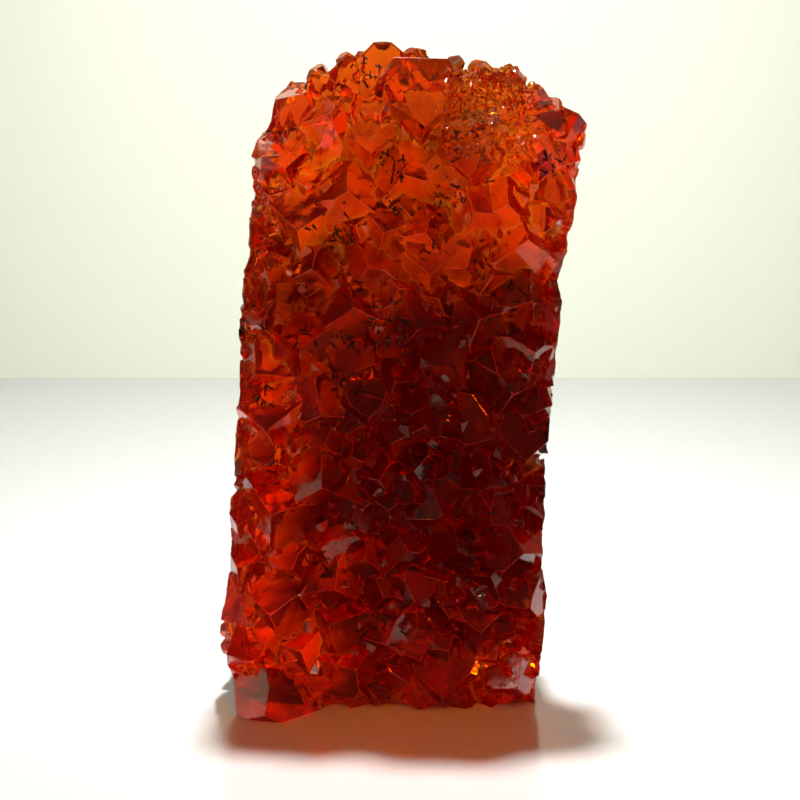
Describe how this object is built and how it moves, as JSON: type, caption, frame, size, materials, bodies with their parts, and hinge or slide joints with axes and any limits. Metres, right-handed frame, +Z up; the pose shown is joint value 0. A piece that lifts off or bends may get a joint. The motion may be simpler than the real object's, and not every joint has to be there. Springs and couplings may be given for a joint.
{
  "type": "citrine crystal cluster",
  "caption": "Free-standing slab of clear red-orange citrine, stout quartz points over its front and arched crown, a lumpy broken back and a flat sawn foot to stand on.",
  "frame": {"origin": "centre of the bounding box on the sawn foot, at the surface the piece stands on", "axes": "+Z up the piece, the crystal face towards -Y, +X to the right as the crystal face is looked at"},
  "size_m": [0.0584, 0.0378, 0.105],
  "materials": {
    "citrine": "clear red-orange quartz: bright crystal faces, dull broken flanks and back, sawn foot"
  },
  "bodies": {
    "root": {"citrine_cluster": "citrine"}
  },
  "joints": []
}
